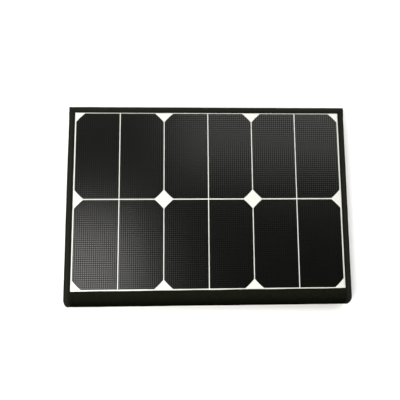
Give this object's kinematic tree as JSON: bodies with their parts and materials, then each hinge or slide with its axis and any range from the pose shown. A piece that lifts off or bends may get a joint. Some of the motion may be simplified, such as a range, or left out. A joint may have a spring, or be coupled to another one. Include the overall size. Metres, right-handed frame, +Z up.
{
  "type": "folding solar panel",
  "caption": "Book-fold portable solar panel, shut: two stiff cell leaves in cloth binding joined by a fabric spine, with a zipped pocket and charge regulator between them.",
  "frame": {"origin": "centre of the shut pack's footprint, on the surface that it lies on", "axes": "+X along the long side, to the right seen from above; +Y from the spine to the free edges; +Z up, out of the front leaf's cell face"},
  "size_m": [0.405, 0.288, 0.024],
  "materials": {
    "film": "clear ETFE film with a fine square emboss",
    "encapsulant": "clear soft encapsulant",
    "cell": "near-black silicon wafer with a satin blue-black coating",
    "ribbon": "tinned copper ribbon",
    "backsheet": "white satin sheet",
    "stiffener": "black board",
    "potting": "black potting compound",
    "cloth": "black coated plain-weave polyester",
    "binding": "black ribbed binding tape",
    "lead": "black flexible sheath",
    "zip_tape": "black woven tape",
    "zip_teeth": "moulded acetal",
    "zip_metal": "black enamelled die casting",
    "case": "fine spark-textured ABS",
    "steel": "zinc-plated steel",
    "board": "green solder mask",
    "components": "moulded parts",
    "socket_metal": "nickel-plated shell",
    "socket_plastic": "moulded nylon",
    "lamp": "milky lens"
  },
  "bodies": {
    "front_leaf": {"front_film": "film", "front_encapsulant": "encapsulant", "front_cell_1": "cell", "front_cell_2": "cell", "front_cell_3": "cell", "front_cell_4": "cell", "front_cell_5": "cell", "front_cell_6": "cell", "front_interconnect_tabs": "ribbon", "front_bus_ribbons": "ribbon", "front_backsheet": "backsheet", "front_stiffener": "stiffener", "front_junction_block": "potting", "front_back_fabric": "cloth", "front_binding_left": "binding", "front_binding_right": "binding", "front_binding_end": "binding", "front_hinge_hem": "cloth"},
    "spine": {"spine_fabric": "cloth", "spine_lining": "cloth", "spine_binding_left": "binding", "spine_binding_right": "binding", "jumper_leads": "lead"},
    "rear_leaf": {"rear_film": "film", "rear_encapsulant": "encapsulant", "rear_cell_1": "cell", "rear_cell_2": "cell", "rear_cell_3": "cell", "rear_cell_4": "cell", "rear_cell_5": "cell", "rear_cell_6": "cell", "rear_interconnect_tabs": "ribbon", "rear_bus_ribbons": "ribbon", "rear_backsheet": "backsheet", "rear_stiffener": "stiffener", "rear_junction_block": "potting", "rear_back_fabric": "cloth", "rear_binding_left": "binding", "rear_binding_right": "binding", "rear_binding_end": "binding", "rear_hinge_hem": "cloth", "pocket_panel": "cloth", "pocket_gusset": "cloth", "zip_tape_lower": "zip_tape", "zip_tape_upper": "zip_tape", "zip_teeth": "zip_teeth", "regulator_base": "case", "regulator_cover": "case", "regulator_screws": "steel", "circuit_board": "board", "board_components": "components", "usb_socket_1": "socket_metal", "usb_socket_2": "socket_metal", "dc_socket": "socket_plastic", "status_lamp": "lamp", "regulator_leads": "lead"},
    "zip_slider": {"zip_slider": "zip_metal"},
    "zip_pull": {"zip_pull": "zip_metal"}
  },
  "joints": [
    {"name": "fold_front", "type": "hinge", "parent": "front_leaf", "child": "spine", "pos_m": [0, -0.14142, 0.02142], "axis": [-1, 0, 0], "range_deg": [0, 90], "deforming": ["jumper_leads"]},
    {"name": "fold_rear", "type": "hinge", "parent": "spine", "child": "rear_leaf", "pos_m": [0, -0.14142, 0.00258], "axis": [-1, 0, 0], "range_deg": [0, 90]},
    {"name": "zip_run", "type": "slide", "parent": "rear_leaf", "child": "zip_slider", "axis": [-1, 0, 0], "range_m": [0, 0.182]},
    {"name": "zip_pull_swing", "type": "hinge", "parent": "zip_slider", "child": "zip_pull", "pos_m": [0.092, 0.12345, 0.01115], "axis": [0, 0, -1], "range_deg": [0, 170]}
  ],
  "couplings": [
    {"joint": "fold_rear", "follows": "fold_front", "ratio": 1}
  ]
}
